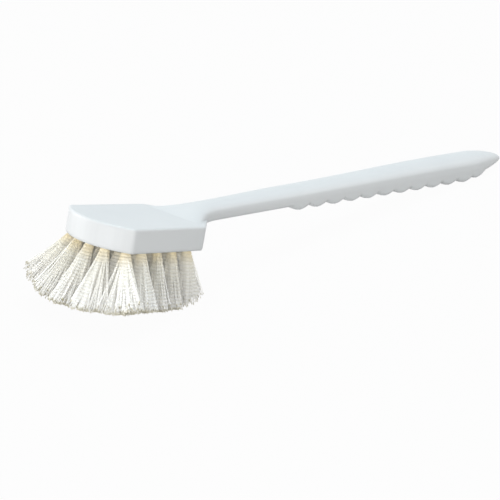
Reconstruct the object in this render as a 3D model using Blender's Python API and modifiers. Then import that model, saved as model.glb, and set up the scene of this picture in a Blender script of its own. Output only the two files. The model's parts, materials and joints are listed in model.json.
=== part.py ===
"""A long-handled scrub brush with a one-piece block and handle.

The block and handle are one plastic moulding. Its flat underside is drilled with blind
holes, and each hole holds a tuft: a bundle of filaments folded over a short strip of flat
wire, the anchor, whose ends bite into the plastic beside the hole.

Units are metres and +Z is up. Everything is modelled in the block's own frame, whose
origin is on the top face, over the middle of the chord of the bowed front. There +X runs
back towards the handle's end. One empty then tilts it all to its rest on a flat surface,
on the rear bristles and the grip.
"""

import math

import bmesh
import bpy
import numpy as np
from mathutils import Matrix, Vector

# The whole brush
OVERALL_LENGTH = 0.508  # from the front of the block to the handle's end
CLEARANCE = 0.0003  # between pieces that touch on the real brush
OVERRUN = 0.004  # how far a cutter reaches past what it cuts

# The block
BLOCK_WIDTH = 0.0760  # at the sides' front ends
SIDE_LENGTH = 0.0766  # the straight sides, along the brush
SHOULDER_WIDTH = 0.0730  # at the sides' rear ends
FRONT_BOW = 0.0157  # how far the front bows out past the sides' ends
BLOCK_THICKNESS = 0.0195
SHOULDER_LENGTH = 0.0250  # the slanting shoulders, along the brush
REAR_WIDTH = 0.0270  # between the shoulders, at the block's rear face
FRONT_CORNER_RADIUS = 0.0030
SHOULDER_CORNER_RADIUS = 0.0035
REAR_CORNER_RADIUS = 0.0050
RIM_RADIUS = 0.0013  # rounding of the top and bottom edges

# The handle, whose half widths, tops and bottoms are measured from its straight axis
HANDLE_RISE_ANGLE = math.radians(6.24)
AXIS_SETBACK = 0.0094  # from the sides' rear ends to where the axis leaves the top face
ROOT_LEAD = 0.0024  # how far the root's nose reaches ahead of the sides' rear ends
ROOT_HALF_WIDTH = 0.0340  # the root flares out to nearly the block's width
ROOT_COVER = 0.0006  # plastic over the root's nose
NECK_SETBACK = 0.0136  # from the block's rear face to the narrowest section
NECK_HALF_WIDTH = 0.0117
NECK_TOP = 0.0075
NECK_BOTTOM = 0.0059
GRIP_HALF_WIDTH = 0.0131  # at the first finger scallop
GRIP_TOP = 0.0089
GRIP_BOTTOM = 0.0053
SWELL_FROM_END = 0.0854  # the fullest section, from the handle's end
SWELL_HALF_WIDTH = 0.0146
SWELL_TOP = 0.0125
SWELL_BOTTOM = 0.0068
END_TAPER_LENGTH = 0.0550
END_LIFT = 0.0020  # how far the point lies above the axis
SCALLOP_PITCH = 0.02164
SCALLOP_DEPTH = 0.0043
SCALLOPS_FROM_END = 0.0338
SCALLOP_COUNT = 12
DOME_POWER = 2.4  # of a section's upper half: 2 is an ellipse, more is squarer
BELLY_POWER = 8.0  # of its lower half, whose sides are upright and which is flat below
TAPER_POWERS = (1.5, 1.65, 1.0)  # of the half width, the top and the bottom at the end

# The drilled holes and the anchors
HOLE_DIAMETER = 0.0070
HOLE_DEPTH = 0.0130
EDGE_INSET = 0.0080  # from the block's edge to the middle of a hole
ROW_COUNTS = (5, 6, 6, 6, 5)
REAR_HOLE_SETBACK = 0.0101  # the last hole of the outer rows, from the sides' rear ends
ROW_STAGGER = 0.0060  # how much further back every second row ends
ANCHOR_LENGTH = 0.0084
ANCHOR_WIDTH = 0.0020
ANCHOR_THICKNESS = 0.0006
ANCHOR_HEADROOM = 0.0024  # the filaments' fold, between the anchor and the hole's end

# The tufts
BRISTLE_LENGTH = 0.0470  # where they stand square to the block
FRONT_GAIN = 0.0090  # how much longer the first bristles are
REAR_TRIM = 0.0075  # how much shorter the last bristles are
TUFT_PROUD = 0.0006  # the straight bundle stands this far out of its hole
FIELD_SPREAD_SHARE = 2.30  # a strand's place in the field over its place in the bundle
FIELD_MIDDLE_SHARE = 0.55  # bristles this far back in the field stand square to the block
FRONT_SPLAY = 0.0225
REAR_SPLAY = 0.0140
SIDE_SPLAY_FRONT = 0.0450
SIDE_SPLAY_REAR = 0.0070
FRONT_SPLAY_POWER = 1.5
REAR_SPLAY_POWER = 2.0
SIDE_SPLAY_POWER = 2.0
FRONT_GAIN_POWER = 3.0
REAR_TRIM_POWER = 2.0
LEAN_SHARES = (0.8, 1.2)  # a strand's lean in its first and second stretch, against its mean
LEAN_LIMIT_SHARE = 0.95
STRAND_THINNING_SHARES = (0.95, 0.80)  # section at mid-length and tip, against the root's
CORE_AREA_SHARE = 0.5  # of a bundle's mouth, for the inner strands
REST_FLAT = 0.0005  # how deep the lowest bristle tips are cut level

# How finely it is all drawn
ARC_STEP = math.radians(15)
FRONT_POINTS = 11
HOLE_SIDES = 12
BUNDLE_SIDES = 8
SECTION_SIDES = 20
ROOT_STATIONS = 9
NECK_STATIONS = 6
STATIONS_A_SCALLOP = 6
END_STATION_SHARES = (0.25, 0.45, 0.62, 0.76, 0.87, 0.95, 0.99, 1)
RIM_ANGLE = math.radians(50)  # edges sharper than this are rounded
SMOOTH_ANGLE = math.radians(35)  # faces meeting at less than this look smooth
FLAT_ANGLE = math.radians(1)  # faces meeting at less than this are one face
MERGE_DISTANCE = 1e-6
STEEPEST_REST = math.radians(-40)
BISECTIONS = 60


def clear_scene():
    for item in list(bpy.data.objects):
        bpy.data.objects.remove(item, do_unlink=True)


def new_collection(name, hidden):
    collection = bpy.data.collections.new(name)
    bpy.context.scene.collection.children.link(collection)
    collection.hide_render = hidden
    return collection


def new_material(name, colour, roughness, metallic):
    material = bpy.data.materials.new(name)
    material.use_nodes = True
    shader = material.node_tree.nodes["Principled BSDF"]
    shader.inputs["Base Color"].default_value = (*colour, 1)
    shader.inputs["Roughness"].default_value = roughness
    shader.inputs["Metallic"].default_value = metallic
    material.diffuse_color = (*colour, 1)
    return material


def new_object(name, bm, collection, material=None):
    mesh = bpy.data.meshes.new(name)
    bmesh.ops.recalc_face_normals(bm, faces=bm.faces)
    bm.to_mesh(mesh)
    bm.free()
    if material:
        mesh.materials.append(material)
    item = bpy.data.objects.new(name, mesh)
    collection.objects.link(item)
    return item


def new_cutter(name, bm):
    cutter = new_object(name, bm, CUTTERS)
    cutter.hide_render = True
    cutter.display_type = "WIRE"
    return cutter


def boolean(item, operation, cutter):
    modifier = item.modifiers.new(f"{operation.lower()}_{cutter.name}", "BOOLEAN")
    modifier.operation = operation
    modifier.solver = "EXACT"
    modifier.object = cutter


def fillet(corner, before, after, radius):
    """Points of an arc that rounds a corner between two straight edges."""
    corner, before, after = Vector(corner), Vector(before), Vector(after)
    towards_before = (before - corner).normalized()
    towards_after = (after - corner).normalized()
    half_angle = towards_before.angle(towards_after) / 2
    reach = radius / math.tan(half_angle)
    bisector = (towards_before + towards_after).normalized()
    centre = corner + bisector * (radius / math.sin(half_angle))
    start = corner + towards_before * reach - centre
    end = corner + towards_after * reach - centre
    steps = max(2, math.ceil(start.angle(end) / ARC_STEP))
    return [centre + start.slerp(end, i / steps) * radius for i in range(steps + 1)]


def rounded_outline(corners):
    """Points of an outline from (x, y, radius) corners. A corner of radius 0 stays."""
    points = []
    for i, (x, y, radius) in enumerate(corners):
        if radius == 0:
            points.append(Vector((x, y)))
            continue
        before = corners[i - 1][:2]
        after = corners[(i + 1) % len(corners)][:2]
        points += fillet((x, y), before, after, radius)
    return points


def extruded_outline(name, points, low, high):
    """A closed mesh: the outline as a filled 2D curve, extruded from low to high."""
    curve = bpy.data.curves.new(name, "CURVE")
    curve.dimensions = "2D"
    curve.fill_mode = "BOTH"
    curve.extrude = (high - low) / 2
    spline = curve.splines.new("POLY")
    spline.points.add(len(points) - 1)
    for place, point in zip(spline.points, points):
        place.co = (point[0], point[1], 0, 1)
    spline.use_cyclic_u = True
    guide = bpy.data.objects.new(name, curve)
    bpy.context.scene.collection.objects.link(guide)
    bpy.context.view_layer.update()
    graph = bpy.context.evaluated_depsgraph_get()
    mesh = bpy.data.meshes.new_from_object(guide.evaluated_get(graph))
    bpy.data.objects.remove(guide, do_unlink=True)
    bm = bmesh.new()
    bm.from_mesh(mesh)
    bpy.data.meshes.remove(mesh)
    bmesh.ops.remove_doubles(bm, verts=bm.verts, dist=MERGE_DISTANCE)
    bmesh.ops.dissolve_limit(bm, angle_limit=FLAT_ANGLE, verts=bm.verts, edges=bm.edges)
    bmesh.ops.translate(bm, verts=bm.verts, vec=(0, 0, (low + high) / 2))
    return bm


def front_x(y):
    """How far forward the bowed front is at y. It is a circular arc."""
    half = BLOCK_WIDTH / 2
    radius = (half**2 + FRONT_BOW**2) / (2 * FRONT_BOW)
    return radius - FRONT_BOW - math.sqrt(radius**2 - y**2)


def plan_corners():
    """The block's outline from above, as (x, y, radius), anticlockwise from the front."""
    half = BLOCK_WIDTH / 2
    rear_x = SIDE_LENGTH + SHOULDER_LENGTH
    front = [(front_x(y), y, 0) for y in np.linspace(half, -half, FRONT_POINTS + 2)[1:-1]]
    return [
        *front,
        (0, -half, FRONT_CORNER_RADIUS),
        (SIDE_LENGTH, -SHOULDER_WIDTH / 2, SHOULDER_CORNER_RADIUS),
        (rear_x, -REAR_WIDTH / 2, REAR_CORNER_RADIUS),
        (rear_x, REAR_WIDTH / 2, REAR_CORNER_RADIUS),
        (SIDE_LENGTH, SHOULDER_WIDTH / 2, SHOULDER_CORNER_RADIUS),
        (0, half, FRONT_CORNER_RADIUS),
    ]


def block(material):
    """The block alone: its outline, extruded, with a rounded rim."""
    plan = rounded_outline(plan_corners())
    bm = extruded_outline("plan", plan, -BLOCK_THICKNESS, 0)
    item = new_object("block_and_handle", bm, PARTS, material)
    rim = item.modifiers.new("rim", "BEVEL")
    rim.width = RIM_RADIUS
    rim.segments = 2
    rim.limit_method = "ANGLE"
    rim.angle_limit = RIM_ANGLE
    rim.use_clamp_overlap = False
    return item


def eased(share):
    """Runs smoothly from 0 to 1."""
    share = min(max(share, 0), 1)
    return share * share * (3 - 2 * share)


def axis_start():
    """Where the handle's axis comes up through the block's top face."""
    return SIDE_LENGTH + AXIS_SETBACK


def root_start():
    return SIDE_LENGTH - ROOT_LEAD


def neck_start():
    return SIDE_LENGTH + SHOULDER_LENGTH + NECK_SETBACK


def handle_end():
    """The end of the handle along its axis, counted on from the axis's start."""
    run = OVERALL_LENGTH - FRONT_BOW - axis_start()
    return axis_start() + run / math.cos(HANDLE_RISE_ANGLE)


def grip_end():
    return handle_end() - SCALLOPS_FROM_END


def grip_start():
    return grip_end() - SCALLOP_COUNT * SCALLOP_PITCH


def scallop(along):
    """How far the finger scallops stand down here: lobes with sharp notches between."""
    place = (along - grip_start()) / SCALLOP_PITCH
    if place < 0 or place > SCALLOP_COUNT:
        return 0
    across = 2 * (place % 1) - 1
    return SCALLOP_DEPTH * (1 - across**2)


def handle_section(along):
    """Half width, top, bottom and lift of the handle's section this far along its axis."""
    if along < neck_start():
        out = (neck_start() - along) / (neck_start() - root_start())
        nose_top = (axis_start() - root_start()) * math.sin(HANDLE_RISE_ANGLE) - ROOT_COVER
        half_width = NECK_HALF_WIDTH + (ROOT_HALF_WIDTH - NECK_HALF_WIDTH) * out**2
        top = NECK_TOP + (nose_top - NECK_TOP) * out**2
        return half_width, top, NECK_BOTTOM, 0
    fullest = handle_end() - SWELL_FROM_END
    grip = eased((along - neck_start()) / (grip_start() - neck_start()))
    swell = eased((along - grip_start()) / (fullest - grip_start()))
    sizes = []
    for neck, start, full in (
        (NECK_HALF_WIDTH, GRIP_HALF_WIDTH, SWELL_HALF_WIDTH),
        (NECK_TOP, GRIP_TOP, SWELL_TOP),
        (NECK_BOTTOM, GRIP_BOTTOM, SWELL_BOTTOM),
    ):
        sizes.append(neck + (start - neck) * grip + (full - start) * swell)
    sizes[2] += scallop(along)
    taper = min(1, max(0, 1 - (handle_end() - along) / END_TAPER_LENGTH))
    tapered = [size * (1 - taper**power) ** (1 / power) for size, power in zip(sizes, TAPER_POWERS)]
    return *tapered, END_LIFT * taper


def handle_stations():
    """Where along the axis the handle's sections stand."""
    root = np.linspace(root_start(), neck_start(), ROOT_STATIONS)
    neck = np.linspace(neck_start(), grip_start(), NECK_STATIONS + 1)[1:]
    grip_stations = SCALLOP_COUNT * STATIONS_A_SCALLOP
    grip = np.linspace(grip_start(), grip_end(), grip_stations + 1)[1:]
    end = [grip_end() + SCALLOPS_FROM_END * share for share in END_STATION_SHARES]
    return [*root, *neck, *grip, *end]


def handle():
    """The handle as a grid wrapped into a tube, one column of it for each section."""
    stations = handle_stations()
    bm = bmesh.new()
    bmesh.ops.create_grid(bm, x_segments=len(stations) - 1, y_segments=SECTION_SIDES, size=1)
    for vert in bm.verts:
        column = round((vert.co.x + 1) / 2 * (len(stations) - 1))
        angle = math.tau * round((vert.co.y + 1) / 2 * SECTION_SIDES) / SECTION_SIDES
        half_width, top, bottom, lift = handle_section(stations[column])
        above = math.sin(angle) > 0
        power = DOME_POWER if above else BELLY_POWER
        y = math.copysign(half_width * abs(math.cos(angle)) ** (2 / power), math.cos(angle))
        height = (top if above else -bottom) * abs(math.sin(angle)) ** (2 / power)
        vert.co = (stations[column] - axis_start(), y, lift + height)
    bmesh.ops.remove_doubles(bm, verts=bm.verts, dist=MERGE_DISTANCE)
    bmesh.ops.holes_fill(bm, edges=bm.edges)
    rise = Matrix.Rotation(-HANDLE_RISE_ANGLE, 4, "Y")
    place = Matrix.Translation((axis_start(), 0, 0)) @ rise
    bmesh.ops.transform(bm, matrix=place, verts=bm.verts)
    return new_cutter("handle", bm)


def rear_hole_at():
    return SIDE_LENGTH - REAR_HOLE_SETBACK


def hole_places():
    """Each hole as (row, number in the row, x, y), rows from one side to the other."""
    edge = BLOCK_WIDTH / 2 - EDGE_INSET
    places = []
    for row, (count, y) in enumerate(zip(ROW_COUNTS, np.linspace(-edge, edge, len(ROW_COUNTS)))):
        first = front_x(y) + EDGE_INSET
        last = rear_hole_at() + ROW_STAGGER * (row % 2)
        for number, x in enumerate(np.linspace(first, last, count)):
            places.append((row + 1, number + 1, float(x), float(y)))
    return places


def box_at(bm, centre, size):
    made = bmesh.ops.create_cube(bm, size=1)["verts"]
    bmesh.ops.scale(bm, verts=made, vec=size)
    bmesh.ops.translate(bm, verts=made, vec=centre)


def anchor_height():
    """The middle of each anchor's strip, from the block's top face."""
    return -BLOCK_THICKNESS + HOLE_DEPTH - ANCHOR_HEADROOM - ANCHOR_WIDTH / 2


def holes():
    """The blind holes, as one cutter."""
    bm = bmesh.new()
    depth = HOLE_DEPTH + OVERRUN
    middle = -BLOCK_THICKNESS + HOLE_DEPTH - depth / 2
    for _row, _number, x, y in hole_places():
        bmesh.ops.create_cone(
            bm,
            cap_ends=True,
            segments=HOLE_SIDES,
            radius1=HOLE_DIAMETER / 2,
            radius2=HOLE_DIAMETER / 2,
            depth=depth,
            matrix=Matrix.Translation((x, y, middle)),
        )
    return new_cutter("holes", bm)


def bites():
    """The slots that the anchors' ends cut into the plastic, as one cutter."""
    bm = bmesh.new()
    size = Vector((ANCHOR_THICKNESS, ANCHOR_LENGTH, ANCHOR_WIDTH)) + Vector([2 * CLEARANCE] * 3)
    for _row, _number, x, y in hole_places():
        box_at(bm, (x, y, anchor_height()), size)
    return new_cutter("anchor_bites", bm)


def place_in_field(x):
    """How far x is forward and backward of the field's middle, and forward of its rear."""
    front_edge, rear_edge = -FRONT_BOW, rear_hole_at() + EDGE_INSET
    middle = front_edge + (rear_edge - front_edge) * FIELD_MIDDLE_SHARE
    forward = max(0, (middle - x) / (middle - front_edge))
    backward = min(1, max(0, (x - middle) / (rear_edge - middle)))
    to_front = min(1, max(0, (rear_edge - x) / (rear_edge - front_edge)))
    return forward, backward, to_front


def splay(x, y):
    """How far a bristle's tip is pushed outwards at this place of the field."""
    forward, backward, to_front = place_in_field(x)
    sideways = abs(y) / (BLOCK_WIDTH / 2)
    side = SIDE_SPLAY_REAR + (SIDE_SPLAY_FRONT - SIDE_SPLAY_REAR) * to_front**2
    along = REAR_SPLAY * backward**REAR_SPLAY_POWER - FRONT_SPLAY * forward**FRONT_SPLAY_POWER
    return along, math.copysign(side * sideways**SIDE_SPLAY_POWER, y)


def bristle_length(x):
    """How far the bristles of this place reach out of the block."""
    forward, backward, _to_front = place_in_field(x)
    gain = FRONT_GAIN * forward**FRONT_GAIN_POWER
    return BRISTLE_LENGTH + gain - REAR_TRIM * backward**REAR_TRIM_POWER


def strand_path(hole, root):
    """The end and direction of each stretch of the strand that grows from this root."""
    field = hole + (root - hole) * FIELD_SPREAD_SHARE
    along, across = splay(field.x, field.y)
    length = bristle_length(field.x) - TUFT_PROUD
    aside = Vector((field.x + along - root.x, field.y + across - root.y, 0))
    lean = math.asin(min(LEAN_LIMIT_SHARE, aside.length / length))
    outward = aside.normalized()
    down = Vector((0, 0, -1))
    point = root
    path = []
    for share in LEAN_SHARES:
        direction = outward * math.sin(lean * share) + down * math.cos(lean * share)
        point = point + direction * (length / len(LEAN_SHARES))
        path.append((point, direction))
    return path


def grow_strand(bm, face, hole):
    """Draws one face of the bundle's mouth out into a strand, in two stretches."""
    root = face.calc_center_median()
    section = [vert.co - root for vert in face.verts]
    for (point, direction), share in zip(strand_path(hole, root), STRAND_THINNING_SHARES):
        face = bmesh.ops.extrude_discrete_faces(bm, faces=[face])["faces"][0]
        turn = Vector((0, 0, -1)).rotation_difference(direction)
        for vert, offset in zip(face.verts, section):
            vert.co = point + turn @ (offset * share)


def bundle():
    """The straight part of a tuft, with the eye through its fold that the anchor lies in.

    Its mouth is at the origin and it stands upwards, as it does in its hole.
    """
    radius = HOLE_DIAMETER / 2 * math.cos(math.pi / HOLE_SIDES) - CLEARANCE
    height = HOLE_DEPTH + TUFT_PROUD - CLEARANCE
    bm = bmesh.new()
    bmesh.ops.create_cone(
        bm,
        cap_ends=True,
        segments=BUNDLE_SIDES,
        radius1=radius,
        radius2=radius,
        depth=height,
        matrix=Matrix.Translation((0, 0, height / 2)),
    )
    solid = new_cutter("bundle", bm)
    bm = bmesh.new()
    across = Vector((ANCHOR_THICKNESS, HOLE_DIAMETER + OVERRUN, ANCHOR_WIDTH))
    size = across + Vector([2 * CLEARANCE] * 3)
    box_at(bm, (0, 0, anchor_height() + BLOCK_THICKNESS + TUFT_PROUD), size)
    boolean(solid, "DIFFERENCE", new_cutter("eye", bm))
    bpy.context.view_layer.update()
    graph = bpy.context.evaluated_depsgraph_get()
    return bpy.data.meshes.new_from_object(solid.evaluated_get(graph))


def tuft(name, x, y, bundle_mesh, material):
    """A bundle of filaments: straight in its hole, then each strand on its own way out."""
    hole = Vector((x, y, -BLOCK_THICKNESS - TUFT_PROUD))
    bm = bmesh.new()
    bm.from_mesh(bundle_mesh)
    bmesh.ops.translate(bm, verts=bm.verts, vec=hole)
    mouth = min(bm.faces, key=lambda face: face.calc_center_median().z)
    side = mouth.edges[0].calc_length()
    flat_radius = side / 2 / math.tan(math.pi / BUNDLE_SIDES)
    inset = flat_radius * (1 - math.sqrt(CORE_AREA_SHARE))
    ring = bmesh.ops.inset_region(bm, faces=[mouth], thickness=inset, use_even_offset=True)
    core = bmesh.ops.poke(bm, faces=[mouth])
    for face in [*ring["faces"], *core["faces"]]:
        grow_strand(bm, face, hole)
    return new_object(name, bm, PARTS, material)


def anchor(name, x, y, material):
    """A short strip of flat wire, driven across the fold into the hole's walls."""
    bm = bmesh.new()
    box_at(bm, (x, y, anchor_height()), (ANCHOR_THICKNESS, ANCHOR_LENGTH, ANCHOR_WIDTH))
    return new_object(name, bm, PARTS, material)


def mesh_points(items):
    """Every vertex of these objects' own meshes, as rows of x and z."""
    return np.array([(v.co.x, v.co.z) for item in items for v in item.data.vertices])


def heights(points, pitch):
    """How high the points lie once the brush is pitched, its handle down for negative."""
    return points[:, 0] * math.sin(pitch) + points[:, 1] * math.cos(pitch)


def rest_pitch(bristles, grip):
    """The pitch at which the levelled bristles and the grip rest on one plane."""
    low, high = STEEPEST_REST, 0
    for _ in range(BISECTIONS):
        pitch = (low + high) / 2
        if heights(bristles, pitch).min() + REST_FLAT < heights(grip, pitch).min():
            high = pitch
        else:
            low = pitch
    return (low + high) / 2


def level_tips(item, pitch, plane):
    """Cuts a tuft's strands level where they would reach through the resting plane."""
    normal = Vector((math.sin(pitch), 0, math.cos(pitch)))
    bm = bmesh.new()
    bm.from_mesh(item.data)
    if min(vert.co.dot(normal) for vert in bm.verts) < plane:
        everything = [*bm.verts, *bm.edges, *bm.faces]
        cut = bmesh.ops.bisect_plane(
            bm,
            geom=everything,
            dist=MERGE_DISTANCE,
            plane_co=normal * plane,
            plane_no=normal,
            clear_inner=True,
        )
        edges = [part for part in cut["geom_cut"] if isinstance(part, bmesh.types.BMEdge)]
        bmesh.ops.holes_fill(bm, edges=edges)
        bmesh.ops.recalc_face_normals(bm, faces=bm.faces)
        bm.to_mesh(item.data)
    bm.free()


def stand_on_floor(items, pitch):
    """Parents it all to one empty, which tilts the brush and centres it on its box."""
    carrier = bpy.data.objects.new("brush_frame", None)
    PARTS.objects.link(carrier)
    carrier.rotation_euler = (0, -pitch, 0)
    for item in [*items, *CUTTERS.objects]:
        item.parent = carrier
    bpy.context.view_layer.update()
    graph = bpy.context.evaluated_depsgraph_get()
    corners = []
    for item in items:
        mesh = item.evaluated_get(graph).to_mesh()
        corners += [item.matrix_world @ vert.co for vert in mesh.vertices]
    corners = np.array(corners)
    low, high = corners.min(axis=0), corners.max(axis=0)
    carrier.location = (-(low[0] + high[0]) / 2, -(low[1] + high[1]) / 2, -low[2])
    bpy.context.view_layer.update()


def smooth(item):
    item.data.shade_smooth()
    item.data.set_sharp_from_angle(angle=SMOOTH_ANGLE)


clear_scene()
PARTS = new_collection("long_handled_scrub_brush", False)
CUTTERS = new_collection("cutters", True)

plastic = new_material("white_moulded_plastic", (0.82, 0.85, 0.88), 0.42, 0)
filament = new_material("cream_bristle", (0.80, 0.76, 0.62), 0.5, 0)
wire = new_material("bright_flat_wire", (0.62, 0.60, 0.55), 0.35, 1)

moulding = block(plastic)
handle_solid = handle()
boolean(moulding, "UNION", handle_solid)
boolean(moulding, "DIFFERENCE", holes())
boolean(moulding, "DIFFERENCE", bites())

bundle_mesh = bundle()
tufts = []
anchors = []
for row, number, x, y in hole_places():
    piece = tuft(f"tuft_row{row}_{number}", x, y, bundle_mesh, filament)
    tufts.append(piece)
    anchors.append(anchor(f"anchor_row{row}_{number}", x, y, wire))

pitch = rest_pitch(mesh_points(tufts), mesh_points([handle_solid]))
plane = heights(mesh_points([handle_solid]), pitch).min()
for piece in tufts:
    level_tips(piece, pitch, plane)

pieces = [moulding, *tufts, *anchors]
stand_on_floor(pieces, pitch)
for piece in [*pieces, handle_solid]:
    smooth(piece)
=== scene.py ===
"""A long-handled scrub brush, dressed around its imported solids.

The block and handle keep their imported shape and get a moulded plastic's surface. Each
tuft's solid is replaced by the crimped filaments that the real tuft is made of. Everything
is in metres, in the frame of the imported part: +X towards the handle's end and +Z up.
"""

import json
import math
from functools import partial

import bpy
import numpy as np
from mathutils import Matrix, Vector


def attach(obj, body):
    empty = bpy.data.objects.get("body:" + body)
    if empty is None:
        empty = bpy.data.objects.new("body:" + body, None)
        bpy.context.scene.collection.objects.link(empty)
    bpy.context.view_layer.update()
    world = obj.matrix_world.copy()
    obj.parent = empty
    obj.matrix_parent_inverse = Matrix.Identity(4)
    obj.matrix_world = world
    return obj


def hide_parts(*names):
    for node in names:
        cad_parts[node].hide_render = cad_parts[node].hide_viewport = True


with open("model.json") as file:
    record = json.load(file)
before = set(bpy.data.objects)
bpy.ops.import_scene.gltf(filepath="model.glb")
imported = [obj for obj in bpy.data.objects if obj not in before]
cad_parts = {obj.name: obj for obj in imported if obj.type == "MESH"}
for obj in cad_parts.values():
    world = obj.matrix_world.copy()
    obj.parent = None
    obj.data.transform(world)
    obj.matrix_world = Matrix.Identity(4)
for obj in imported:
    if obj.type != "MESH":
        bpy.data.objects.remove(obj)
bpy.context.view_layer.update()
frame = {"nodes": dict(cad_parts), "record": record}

# The photograph's view
# The camera stands in front of the brush and to its near side, far off with a long lens.
# It was fitted to the block's corners, the finger scallops and the handle's end.

CAMERA_AZIMUTH = math.radians(-45.560)
CAMERA_ELEVATION = math.radians(21.733)
CAMERA_ROLL = math.radians(0.241)
CAMERA_DISTANCE = 1.7123
CAMERA_AIM = Vector((-0.05973, 0, 0.00489))
LENS_MM = 150.05
SENSOR_MM = 36

lens = bpy.data.cameras.new("camera")
lens.sensor_width = SENSOR_MM
lens.lens = LENS_MM
camera = bpy.data.objects.new("camera", lens)
bpy.context.scene.collection.objects.link(camera)
back = Vector((
    math.sin(CAMERA_AZIMUTH) * math.cos(CAMERA_ELEVATION),
    -math.cos(CAMERA_AZIMUTH) * math.cos(CAMERA_ELEVATION),
    math.sin(CAMERA_ELEVATION),
))
level = Vector((math.cos(CAMERA_AZIMUTH), math.sin(CAMERA_AZIMUTH), 0))
right = level * math.cos(CAMERA_ROLL) + back.cross(level) * math.sin(CAMERA_ROLL)
camera_axes = Matrix((right, back.cross(right), back)).transposed()
camera.matrix_world = Matrix.Translation(CAMERA_AIM + back * CAMERA_DISTANCE) @ camera_axes.to_4x4()
bpy.context.scene.camera = camera

# The block and the handle
# One piece of white polypropylene, moulded in one shot, from the bowed block to the
# rounded point of the handle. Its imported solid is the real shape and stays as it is.

PLASTIC_WHITE = "#E3E5E5"
PLASTIC_SHADE = "#DDDFE0"  # where the skin has dulled
PLASTIC_IOR = 1.49
PLASTIC_ROUGHNESS = (0.36, 0.50)  # where the skin is clean, and where it has dulled
FLOW_MM = 55  # the cloudy patches that the melt's flow leaves
FLOW_DETAIL, FLOW_DETAIL_SHARE = 3, 0.55
PEEL_MM = 1.6  # the orange peel, drawn coarser than the real one so that it shows
PEEL_DETAIL = 2
PEEL_HEIGHT_MM = 0.02
PEEL_STRENGTH = 0.6
EDGE_SOFTNESS_MM = 4.0  # how far the shading of the mould's blended corners reaches
EDGE_SAMPLES = 8

# The sockets of a Mix node that mixes colours: its two colours and its result
MIX_FIRST, MIX_SECOND, MIX_RESULT = 6, 7, 2


def linear(code):
    """The linear RGBA of an sRGB hex colour."""
    parts = [int(code[i : i + 2], 16) / 255 for i in (1, 3, 5)]
    return (*(c / 12.92 if c <= 0.04045 else ((c + 0.055) / 1.055) ** 2.4 for c in parts), 1)


def per_metre(size_mm):
    """The scale of a texture whose features are this large."""
    return 1000 / size_mm


def new_material(name):
    """A material of one Principled shader, and that shader."""
    material = bpy.data.materials.new(name)
    material.use_nodes = True
    return material, material.node_tree.nodes["Principled BSDF"]


def add_node(tree, kind, settings=None, links=None):
    """Adds a node. Settings are its attributes or input values, links come from outputs."""
    node = tree.nodes.new(kind)
    for key, value in (settings or {}).items():
        if isinstance(key, str) and hasattr(node, key):
            setattr(node, key, value)
        else:
            node.inputs[key].default_value = value
    for key, output in (links or {}).items():
        tree.links.new(output, node.inputs[key])
    return node


def moulded_polypropylene():
    """Moulding leaves a satin skin with a faint orange peel, cloudy where it has dulled."""
    material, shader = new_material("moulded_white_polypropylene")
    tree = material.node_tree
    shader.inputs["IOR"].default_value = PLASTIC_IOR
    where = add_node(tree, "ShaderNodeTexCoord").outputs["Object"]
    flow = add_node(
        tree,
        "ShaderNodeTexNoise",
        {"Scale": per_metre(FLOW_MM), "Detail": FLOW_DETAIL, "Roughness": FLOW_DETAIL_SHARE},
        {"Vector": where},
    )
    tint = add_node(
        tree,
        "ShaderNodeMix",
        {"data_type": "RGBA", MIX_FIRST: linear(PLASTIC_WHITE), MIX_SECOND: linear(PLASTIC_SHADE)},
        {"Factor": flow.outputs["Fac"]},
    )
    wear = add_node(
        tree,
        "ShaderNodeMapRange",
        {"To Min": PLASTIC_ROUGHNESS[0], "To Max": PLASTIC_ROUGHNESS[1]},
        {"Value": flow.outputs["Fac"]},
    )
    peel = add_node(
        tree,
        "ShaderNodeTexNoise",
        {"Scale": per_metre(PEEL_MM), "Detail": PEEL_DETAIL},
        {"Vector": where},
    )
    blend = add_node(
        tree, "ShaderNodeBevel", {"samples": EDGE_SAMPLES, "Radius": EDGE_SOFTNESS_MM / 1000}
    )
    bump = add_node(
        tree,
        "ShaderNodeBump",
        {"Distance": PEEL_HEIGHT_MM / 1000, "Strength": PEEL_STRENGTH},
        {"Height": peel.outputs["Fac"], "Normal": blend.outputs["Normal"]},
    )
    tree.links.new(tint.outputs[MIX_RESULT], shader.inputs["Base Color"])
    tree.links.new(wear.outputs["Result"], shader.inputs["Roughness"])
    tree.links.new(bump.outputs["Normal"], shader.inputs["Normal"])
    return material


moulding = frame["nodes"]["block_and_handle"]
moulding.data.materials.clear()
moulding.data.materials.append(moulded_polypropylene())

# The tufts
# Each hole of the block holds a tuft: stiff crimped filaments of off-white synthetic,
# folded over a strip of wire at the bottom of the hole. They are crimped together, so
# that their waves lie in step, and once set they splay outwards and are trimmed to length.

FILAMENT_DIAMETER = 0.00050  # drawn a little coarser than the real ones, of about 0.4 mm
# The front tufts fan out most, so each pair here is for the front holes and the rear ones
FILAMENT_SPACINGS = (0.00036, 0.00045)  # in the hole, where the drawn ones run into each other
FILAMENT_GROWTHS = (1.60, 1.40)  # the thickness at the tip, against that at the root
BUNDLE_RADIUS = 0.0031  # the centres of the outermost filaments in a hole
# Inside a tuft some are drawn thicker still, and a little short. They stand for the many
# more filaments of a real tuft, which no one can see through.
INNER_DIAMETER = 0.00080
INNER_GROWTHS = (2.0, 1.7)
INNER_SPACING = 0.00080
INNER_BUNDLE_RADIUS = 0.0026
INNER_SHORTFALL = 0.0030
FILAMENT_SIDES = 3
FACING_TURN = 0.75  # round a filament, from its side to the way that it faces
ROOT_DEPTH = 0.0040  # how deep in its hole a filament starts to be drawn
CRIMP_PITCH = 0.0027
CRIMP_HEIGHT = 0.00032  # from the middle line to a crest
CRIMP_STEPS = 4  # straight pieces in each wave
SEED = 20

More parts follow.
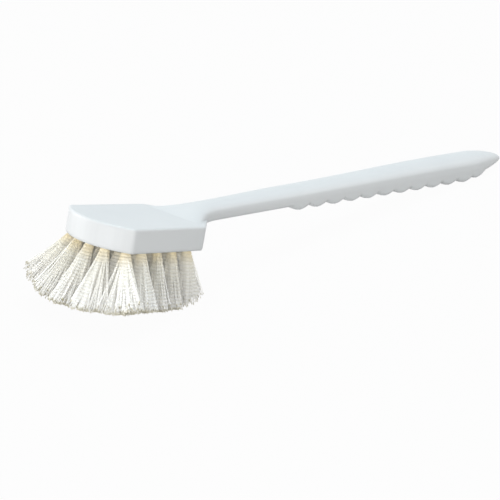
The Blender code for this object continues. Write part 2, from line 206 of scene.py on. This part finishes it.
# How much the filaments differ by chance, as standard deviations
PLACE_PLAY = 0.00007  # in the hole
FIELD_PLAY = 0.0022  # in the place that a filament is given in the field
TIP_PLAY = 0.0008
TRIM_PLAY = 0.0004  # in its length
BOW_PLAY = 0.0005
PLANE_PLAY = math.radians(20)  # of the plane that its waves lie in
PHASE_PLAY = math.radians(20)
PITCH_PLAY_SHARE = 0.004

# The block and its holes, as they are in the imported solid. On the block, x is from the
# front chord backwards, y across it, and z up from its top face.
BLOCK_WIDTH = 0.0760
BLOCK_THICKNESS = 0.0195
FRONT_BOW = 0.0157
EDGE_INSET = 0.0080
REAR_HOLE_AT = 0.0665
ROW_COUNTS = (5, 6, 6, 6, 5)
ROW_STAGGER = 0.0060
BLOCK_TOP_MOUNT_AT = 0.0300

# The field is the area that all tufts cover together. A filament is given a place in it,
# further from the middle of its hole than its root is, and splays on from there, so that
# neighbouring tufts meet at their tips. The values differ a little from those of the
# tufts' solids, because the filaments fill the gaps between the solids' strands.
FIELD_SPREAD_SHARE = 2.50  # from the hole's middle, against the root's own distance
FIELD_MIDDLE_SHARE = 0.55  # of the way back, where bristles stand straight
FRONT_SPLAY, FRONT_SPLAY_POWER = 0.0200, 1.5
REAR_SPLAY, REAR_SPLAY_POWER = 0.0065, 2.0
SIDE_SPLAY_FRONT, SIDE_SPLAY_REAR, SIDE_SPLAY_POWER = 0.0350, 0.0070, 2.0
FRONTWARD_POWER = 2.0  # of how the side splay grows towards the front
BRISTLE_LENGTH = 0.0460
FRONT_GAIN, FRONT_GAIN_POWER = 0.0070, 3.0  # the front bristles are longer
REAR_TRIM, REAR_TRIM_POWER = 0.0100, 3.0  # and the rear ones shorter
LEAN_SHARES = (0.92, 1.08)  # a filament's lean at its root and tip, against its mean
LEAN_LIMIT_SHARE = 0.95  # the most that a tip is pushed aside, against the length
FIELD_CENTRE = (0.0300, 0)  # a filament turns one flat side away from here
CRIMP_CENTRE = (0.0750, 0.0600)  # and the crimp's waves swing to and from here

top_face = next(mount for mount in frame["record"]["mounts"] if mount["name"] == "block_top")
block_up = Vector(top_face["axis"]).normalized()
block_back = Vector((block_up.z, 0, -block_up.x))
block_origin = np.array(Vector(top_face["pos_m"]) - block_back * BLOCK_TOP_MOUNT_AT)
block_axes = np.array((block_back, (0, 1, 0), block_up))
dice = np.random.default_rng(SEED)
SMALLEST_LENGTH = 1e-12  # that a vector is divided by


def front_x(y):
    """How far forward the bowed front is at y. It is a circular arc."""
    radius = ((BLOCK_WIDTH / 2) ** 2 + FRONT_BOW**2) / (2 * FRONT_BOW)
    return radius - FRONT_BOW - math.sqrt(radius**2 - y**2)


def hole_places():
    """Each hole as (row, number in the row, x, y) on the block."""
    edge = BLOCK_WIDTH / 2 - EDGE_INSET
    for row, (count, y) in enumerate(zip(ROW_COUNTS, np.linspace(-edge, edge, len(ROW_COUNTS)))):
        first = front_x(y) + EDGE_INSET
        last = REAR_HOLE_AT + ROW_STAGGER * (row % 2)
        for number, x in enumerate(np.linspace(first, last, count)):
            yield row + 1, number + 1, float(x), float(y)


def packed_places(spacing, radius):
    """Filaments' places in a hole, packed like straws, in x and y from its middle."""
    reach = math.ceil(radius / spacing) + 1
    i, j = np.meshgrid(np.arange(-reach, reach + 1), np.arange(-reach, reach + 1))
    places = np.stack([i + j / 2, j * math.sqrt(3) / 2], axis=-1).reshape(-1, 2) * spacing
    return places[np.hypot(*places.T) <= radius]


def inside_outline(field):
    """These places, with those outside the field brought back to its edge."""
    y = np.clip(field[:, 1], -BLOCK_WIDTH / 2, BLOCK_WIDTH / 2)
    x = np.clip(field[:, 0], [front_x(each) for each in y], REAR_HOLE_AT + EDGE_INSET)
    return np.stack([x, y], axis=1)


def tips_and_lengths(field):
    """Where bristles at these places of the field are pushed to, and how long they are."""
    front_edge, rear_edge = -FRONT_BOW, REAR_HOLE_AT + EDGE_INSET
    middle = front_edge + (rear_edge - front_edge) * FIELD_MIDDLE_SHARE
    x, y = field.T
    forward = np.clip((middle - x) / (middle - front_edge), 0, None)
    backward = np.clip((x - middle) / (rear_edge - middle), 0, 1)
    to_front = np.clip((rear_edge - x) / (rear_edge - front_edge), 0, 1)
    side = SIDE_SPLAY_REAR + (SIDE_SPLAY_FRONT - SIDE_SPLAY_REAR) * to_front**FRONTWARD_POWER
    along = REAR_SPLAY * backward**REAR_SPLAY_POWER - FRONT_SPLAY * forward**FRONT_SPLAY_POWER
    across = np.sign(y) * side * (np.abs(y) / (BLOCK_WIDTH / 2)) ** SIDE_SPLAY_POWER
    gain = FRONT_GAIN * forward**FRONT_GAIN_POWER
    lengths = BRISTLE_LENGTH + gain - REAR_TRIM * backward**REAR_TRIM_POWER
    return field + np.stack([along, across], axis=1), lengths


def unit(vectors):
    """These vectors, each scaled to a length of 1. One of no length stays as it is."""
    return vectors / np.maximum(np.linalg.norm(vectors, axis=-1, keepdims=True), SMALLEST_LENGTH)


def splay(roots, aside, lengths, share):
    """Filaments from their roots, pushed aside at their tips, as lines and headings.

    Share is how far along a filament each point lies.
    """
    count = len(roots)
    lean = np.arcsin(np.minimum(LEAN_LIMIT_SHARE, np.linalg.norm(aside, axis=1) / lengths))
    angle = lean[:, None] * np.interp(share, (0, 1), LEAN_SHARES)
    outward = np.concatenate([unit(aside), np.zeros((count, 1))], axis=1)
    headings = outward[:, None] * np.sin(angle)[..., None]
    headings[..., 2] = -np.cos(angle)
    strides = (headings[:, 1:] + headings[:, :-1]) / 2 * (lengths / (len(share) - 1))[:, None, None]
    mouths = np.concatenate([roots, np.full((count, 1), -BLOCK_THICKNESS)], axis=1)[:, None]
    lines = np.concatenate([mouths, mouths + np.cumsum(strides, axis=1)], axis=1)
    # Each filament has a slight bow of its own
    bow = np.concatenate([dice.normal(0, BOW_PLAY, (count, 1, 2)), np.zeros((count, 1, 1))], axis=2)
    return lines + bow * np.sin(share * math.pi)[None, :, None], headings


def crimp(x, y, headings, along):
    """The shifts that crimping gives the points of one tuft, and its waves from -1 to 1.

    The filaments wave nearly in step and nearly in one plane. Along is how far down from
    the hole each point lies.
    """
    count = len(along)
    plane = math.atan2(y - CRIMP_CENTRE[1], x - CRIMP_CENTRE[0]) + dice.normal(0, PLANE_PLAY, count)
    phase = dice.uniform(0, math.tau) + dice.normal(0, PHASE_PLAY, count)
    pitch = CRIMP_PITCH * (1 + dice.normal(0, PITCH_PLAY_SHARE, count))
    swing = np.stack([np.cos(plane), np.sin(plane), np.zeros(count)], axis=1)[:, None]
    swing = unit(swing - headings * (swing * headings).sum(-1, keepdims=True))
    # The waves grow over the first pitch, so that a filament leaves its hole straight
    growing = np.clip(along / CRIMP_PITCH, 0, 1)
    waves = np.sin(along / pitch[:, None] * math.tau + phase[:, None]) * growing
    return swing * (waves * CRIMP_HEIGHT)[..., None], waves


def tuft_filaments(x, y):
    """The filaments of the tuft in this hole: their lines, headings, waves and radii."""
    front_to_rear = partial(np.interp, x, (0, REAR_HOLE_AT))
    outer = packed_places(front_to_rear(FILAMENT_SPACINGS), BUNDLE_RADIUS)
    inner = packed_places(INNER_SPACING, INNER_BUNDLE_RADIUS)
    places = np.concatenate([outer, inner])
    count = len(places)
    is_inner = np.arange(count) >= len(outer)
    places = places + dice.normal(0, PLACE_PLAY, places.shape)
    roots = np.array((x, y)) + places
    field = np.array((x, y)) + places * FIELD_SPREAD_SHARE + dice.normal(0, FIELD_PLAY, places.shape)
    tips, lengths = tips_and_lengths(inside_outline(field))
    lengths = lengths + dice.normal(0, TRIM_PLAY, count) - INNER_SHORTFALL * is_inner
    aside = tips - roots + dice.normal(0, TIP_PLAY, (count, 2))
    share = np.linspace(0, 1, math.ceil(lengths.max() / CRIMP_PITCH * CRIMP_STEPS) + 1)
    lines, headings = splay(roots, aside, lengths, share)
    shifts, waves = crimp(x, y, headings, lengths[:, None] * share)
    lines = lines + shifts
    # One more point of each filament is up in the hole
    sunk = lines[:, :1] + np.array((0, 0, ROOT_DEPTH))
    straight_down = np.broadcast_to((0.0, 0.0, -1.0), sunk.shape)
    lines = np.concatenate([sunk, lines], axis=1)
    headings = np.concatenate([straight_down, headings], axis=1)
    waves = np.concatenate([np.zeros((count, 1)), waves], axis=1)
    grown = np.where(is_inner, front_to_rear(INNER_GROWTHS), front_to_rear(FILAMENT_GROWTHS))
    growth = np.linspace(1, grown, waves.shape[1], axis=1)
    radii = np.where(is_inner, INNER_DIAMETER, FILAMENT_DIAMETER)[:, None] / 2 * growth
    return lines, headings, waves, radii


def tubes(name, lines, headings, facing, radii, sides, marks):
    """A mesh of closed tubes round these lines, each with a flat side turned to the facing.

    Marks are named numbers, one for each point of the lines.
    """
    count, points = lines.shape[:2]
    tangent = unit(np.gradient(lines, axis=1))
    side = np.cross(headings, facing)
    side = unit(side - tangent * (side * tangent).sum(-1, keepdims=True))
    third = np.cross(tangent, side)
    # The first corner is half a side past the facing, so that a flat side looks that way
    turns = (FACING_TURN + (np.arange(sides)[:, None] + 0.5) / sides) * math.tau
    ring = side[:, :, None] * np.cos(turns) + third[:, :, None] * np.sin(turns)
    places = lines[:, :, None] + ring * radii[:, :, None, None]
    index = np.arange(count * points * sides).reshape(count, points, sides)
    low, high = index[:, :-1], index[:, 1:]
    quads = np.stack([low, np.roll(low, -1, 2), np.roll(high, -1, 2), high], axis=-1).reshape(-1, 4)
    caps = np.concatenate([index[:, 0, ::-1], index[:, -1]])
    mesh = bpy.data.meshes.new(name)
    mesh.vertices.add(places.size // 3)
    mesh.vertices.foreach_set("co", places.ravel().astype(np.float32))
    mesh.loops.add(quads.size + caps.size)
    mesh.loops.foreach_set("vertex_index", np.concatenate([quads.ravel(), caps.ravel()]).astype(np.int32))
    starts = np.concatenate([np.arange(len(quads)) * 4, quads.size + np.arange(len(caps)) * sides])
    mesh.polygons.add(len(starts))
    mesh.polygons.foreach_set("loop_start", starts.astype(np.int32))
    mesh.polygons.foreach_set("use_smooth", np.zeros(len(starts), bool))
    mesh.update(calc_edges=True)
    for key, values in marks.items():
        values = np.repeat(values.ravel(), sides).astype(np.float32)
        mesh.attributes.new(key, "FLOAT", "POINT").data.foreach_set("value", values)
    return mesh


# The yellower cream near the block is partly the filament's own tone and partly painted shade, the warm
# shade that gathers between the filaments at their roots.
FILAMENT_ROOT = "#F8EBC8"
FILAMENT_MIDDLE, FILAMENT_MIDDLE_AT = "#FDFBF3", 0.28
FILAMENT_TIP, FILAMENT_TIP_AT = "#FEFDFB", 0.95
FILAMENT_END_DIRT_AND_SHADE = "#B7B095"  # the cut end, a little dirty, and darker still with painted shade along the brush's lower edge
FILAMENT_TROUGH_SHADE = "#DCD7C3"  # painted shade in the inner bends of the waves, which marks out the crimp's bands
TROUGH_SHADE_REACH = (-1, -0.3)  # of the wave, where the painted shade is full and where it ends
TROUGH_SHADE_SHARE = 0.6
FILAMENT_IOR = 1.53
FILAMENT_ROUGHNESS = 0.30


def crimped_filament():
    """Drawn filament has a soft gloss. It is yellower near the block, partly as painted shade, and has
    painted shade in the bends of its waves.
    """
    material, shader = new_material("crimped_off_white_filament")
    tree = material.node_tree
    shader.inputs["IOR"].default_value = FILAMENT_IOR
    shader.inputs["Roughness"].default_value = FILAMENT_ROUGHNESS
    along = add_node(tree, "ShaderNodeAttribute", {"attribute_name": "along"})
    ramp = add_node(tree, "ShaderNodeValToRGB", links={"Fac": along.outputs["Fac"]})
    stops = ramp.color_ramp.elements
    stops[0].color = linear(FILAMENT_ROOT)
    # The last stop, at the cut end, is partly dirt and partly painted shade
    stops[1].color = linear(FILAMENT_END_DIRT_AND_SHADE)
    stops.new(FILAMENT_MIDDLE_AT).color = linear(FILAMENT_MIDDLE)
    stops.new(FILAMENT_TIP_AT).color = linear(FILAMENT_TIP)
    wave = add_node(tree, "ShaderNodeAttribute", {"attribute_name": "wave"})
    # Painted shade in the bends of the waves, which marks out the crimp's bands
    trough = add_node(
        tree,
        "ShaderNodeMapRange",
        {"From Min": TROUGH_SHADE_REACH[0], "From Max": TROUGH_SHADE_REACH[1], "To Min": TROUGH_SHADE_SHARE, "To Max": 0},
        {"Value": wave.outputs["Fac"]},
    )
    tint = add_node(
        tree,
        "ShaderNodeMix",
        {"data_type": "RGBA", MIX_SECOND: linear(FILAMENT_TROUGH_SHADE)},
        {"Factor": trough.outputs["Result"], MIX_FIRST: ramp.outputs["Color"]},
    )
    tree.links.new(tint.outputs[MIX_RESULT], shader.inputs["Base Color"])
    return material


filament_material = crimped_filament()
for row, number, x, y in hole_places():
    lines, headings, waves, radii = tuft_filaments(x, y)
    lines = lines @ block_axes + block_origin
    facing = unit(np.array((x - FIELD_CENTRE[0], y - FIELD_CENTRE[1], 0))) @ block_axes
    lines[..., 2] = np.maximum(lines[..., 2], radii)  # lying on the floor
    name = f"filaments_row{row}_{number}"
    marks = {"along": np.broadcast_to(np.linspace(0, 1, waves.shape[1]), waves.shape), "wave": waves}
    mesh = tubes(name, lines, headings @ block_axes, facing, radii, FILAMENT_SIDES, marks)
    mesh.materials.append(filament_material)
    tuft = bpy.data.objects.new(name, mesh)
    bpy.context.scene.collection.objects.link(tuft)
    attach(tuft, "root")
    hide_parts(f"tuft_row{row}_{number}")

# The anchors
# Short strips of bright flat wire, driven across the folds of the filaments, so that their
# ends bite into the plastic. They are out of sight at the bottom of the holes.

WIRE_BRIGHT = "#C9C7C1"
WIRE_DULL = "#A9A7A1"
WIRE_ROUGHNESS = 0.32
WIRE_LINE_MM = 0.12  # between the lines that the rolls leave
WIRE_LINE_RATIO = 40  # a line's length to its width
WIRE_DETAIL = 2


def rolled_flat_wire():
    """Cold rolling leaves fine bright and dull lines along the wire."""
    material, shader = new_material("cold_rolled_flat_wire")
    tree = material.node_tree
    shader.inputs["Metallic"].default_value = 1
    shader.inputs["Roughness"].default_value = WIRE_ROUGHNESS
    where = add_node(tree, "ShaderNodeTexCoord").outputs["Object"]
    fine = per_metre(WIRE_LINE_MM)
    stretched = add_node(
        tree, "ShaderNodeMapping", {"Scale": (fine, fine / WIRE_LINE_RATIO, fine)}, {"Vector": where}
    )
    rolled = add_node(
        tree,
        "ShaderNodeTexNoise",
        {"Scale": 1, "Detail": WIRE_DETAIL},
        {"Vector": stretched.outputs["Vector"]},
    )
    tint = add_node(
        tree,
        "ShaderNodeMix",
        {"data_type": "RGBA", MIX_FIRST: linear(WIRE_BRIGHT), MIX_SECOND: linear(WIRE_DULL)},
        {"Factor": rolled.outputs["Fac"]},
    )
    tree.links.new(tint.outputs[MIX_RESULT], shader.inputs["Base Color"])
    return material


wire_material = rolled_flat_wire()
for name, node in frame["nodes"].items():
    if name.startswith("anchor_"):
        node.data.materials.clear()
        node.data.materials.append(wire_material)

# The studio
# White paper that runs out to a white distance, under an even pale sky. One large soft
# light is above and a small one behind the camera, so that the gaps between the tufts are
# lit. Three more stand in front of the block, on its far side and beyond the handle's end.

FLOOR_SIZE = 12
FLOOR_DROP = 0.0002  # below the brush's rest, so that the two don't share a plane
FLOOR_GREY = "#B4B2B0"  # so that the paper throws little light up at the brush
FLOOR_ROUGHNESS = 0.9
FLOOR_GLOW_SHARE = 0.965  # of what the camera sees of the floor. The rest is lit paper
SKY_STRENGTH = 0.24
STUDIO_WHITE = "#FFFFFF"
DAYLIGHT_WHITE = "#EAF8FF"  # slightly cool, as the photograph's top light is
BRUSH_HEAD = (-0.1, 0, 0.05)
BRUSH_MIDDLE = (0, 0, 0)


def seen_or_mirrored(tree):
    """1 for a ray from the camera, or by way of gloss or glass, and 0 for any other."""
    rays = add_node(tree, "ShaderNodeLightPath").outputs
    mirrored = add_node(
        tree,
        "ShaderNodeMath",
        {"operation": "MAXIMUM"},
        {0: rays["Is Glossy Ray"], 1: rays["Is Transmission Ray"]},
    )
    either = add_node(
        tree,
        "ShaderNodeMath",
        {"operation": "MAXIMUM"},
        {0: rays["Is Camera Ray"], 1: mirrored.outputs[0]},
    )
    return either.outputs[0]


def white_paper():
    """Matt paper, which the camera sees mostly as plain white, with a faint shadow on it."""
    material, shader = new_material("white_paper_floor")
    tree = material.node_tree
    shader.inputs["Base Color"].default_value = linear(FLOOR_GREY)
    shader.inputs["Roughness"].default_value = FLOOR_ROUGHNESS
    shader.inputs["Specular IOR Level"].default_value = 0
    share = add_node(
        tree,
        "ShaderNodeMath",
        {"operation": "MULTIPLY", 1: FLOOR_GLOW_SHARE},
        {0: seen_or_mirrored(tree)},
    )
    glow = add_node(tree, "ShaderNodeEmission", {"Strength": 1.0})
    mix = add_node(
        tree,
        "ShaderNodeMixShader",
        links={0: share.outputs[0], 1: shader.outputs[0], 2: glow.outputs[0]},
    )
    tree.links.new(mix.outputs[0], tree.nodes["Material Output"].inputs["Surface"])
    return material


half = FLOOR_SIZE / 2
corners = [(-half, -half, 0), (half, -half, 0), (half, half, 0), (-half, half, 0)]
floor_mesh = bpy.data.meshes.new("floor")
floor_mesh.from_pydata(corners, [], [(0, 1, 2, 3)])
floor_mesh.materials.append(white_paper())
floor = bpy.data.objects.new("floor", floor_mesh)
floor.location.z = -FLOOR_DROP
bpy.context.scene.collection.objects.link(floor)

world = bpy.data.worlds.new("studio")
world.use_nodes = True
bpy.context.scene.world = world
sky = world.node_tree.nodes["Background"]
sky.inputs["Color"].default_value = linear(STUDIO_WHITE)
sky.inputs["Strength"].default_value = SKY_STRENGTH
distance = add_node(
    world.node_tree, "ShaderNodeBackground", {"Color": linear(STUDIO_WHITE), "Strength": 1.0}
)
both = add_node(
    world.node_tree,
    "ShaderNodeMixShader",
    links={0: seen_or_mirrored(world.node_tree), 1: sky.outputs[0], 2: distance.outputs[0]},
)
world.node_tree.links.new(both.outputs[0], world.node_tree.nodes["World Output"].inputs["Surface"])


def soft_light(name, place, aim, size, watts, colour):
    """A rectangular lamp that shines from its place towards its aim."""
    lamp = bpy.data.lights.new(name, "AREA")
    lamp.shape = "RECTANGLE"
    lamp.size, lamp.size_y = size
    lamp.energy = watts
    lamp.color = linear(colour)[:3]
    item = bpy.data.objects.new(name, lamp)
    item.location = place
    item.rotation_euler = (Vector(aim) - Vector(place)).to_track_quat("-Z", "Y").to_euler()
    bpy.context.scene.collection.objects.link(item)


soft_light("top_light", (0.35, 0.36, 2.35), BRUSH_MIDDLE, (1.8, 1.8), 38.5, DAYLIGHT_WHITE)
soft_light("near_light", (-1.66, -1.59, 0.90), BRUSH_HEAD, (0.3, 0.25), 19.5, STUDIO_WHITE)
soft_light("front_light", (-2.3, -0.3, 0.45), BRUSH_HEAD, (1.4, 0.6), 14.5, STUDIO_WHITE)
soft_light("far_light", (-1.1, 1.9, 0.40), BRUSH_HEAD, (1.4, 0.6), 20.5, STUDIO_WHITE)
soft_light("rear_light", (1.7, -0.9, 0.70), BRUSH_HEAD, (1.4, 0.9), 9, STUDIO_WHITE)

bpy.context.scene.view_settings.view_transform = "Standard"
